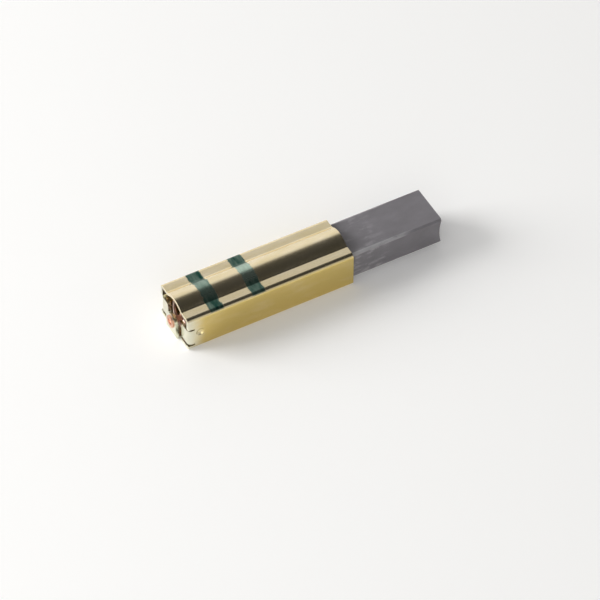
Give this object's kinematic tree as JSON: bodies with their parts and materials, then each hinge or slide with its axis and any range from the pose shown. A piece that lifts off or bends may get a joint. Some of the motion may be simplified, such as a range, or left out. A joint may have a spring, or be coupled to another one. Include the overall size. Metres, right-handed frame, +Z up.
{
  "type": "carbon brush",
  "caption": "Rectangular carbon brush that slides on a coil spring in a folded brass sleeve with a raised round crown.",
  "frame": {"origin": "middle of the whole brush along X and Y, on the flat floor of the sleeve", "axes": "+X along the brush towards the running face, +Y across it, +Z up towards the crown"},
  "size_m": [0.0668, 0.0132, 0.011],
  "materials": {
    "folded_brass": "bright rolled sheet",
    "copper_eyelet": "smooth copper",
    "spring_bronze": "drawn phosphor bronze wire",
    "braided_copper": "braided fine copper wire",
    "vulcanised_fibre": "dull",
    "carbon": "fine ground matt",
    "tamped_copper": "matt packed powder"
  },
  "bodies": {
    "holder": {"sleeve": "folded_brass", "eyelet": "copper_eyelet", "spring": "spring_bronze", "shunt": "braided_copper"},
    "brush": {"carbon_block": "carbon", "tamped_plug": "tamped_copper", "fibre_washer": "vulcanised_fibre"}
  },
  "joints": [
    {"name": "carbon_slide", "type": "slide", "parent": "holder", "child": "brush", "axis": [-1, 0, 0], "range_m": [0, 0.017], "stiffness_N_per_m": 600, "springref_m": -0.004, "deforming": ["spring", "shunt"]}
  ]
}
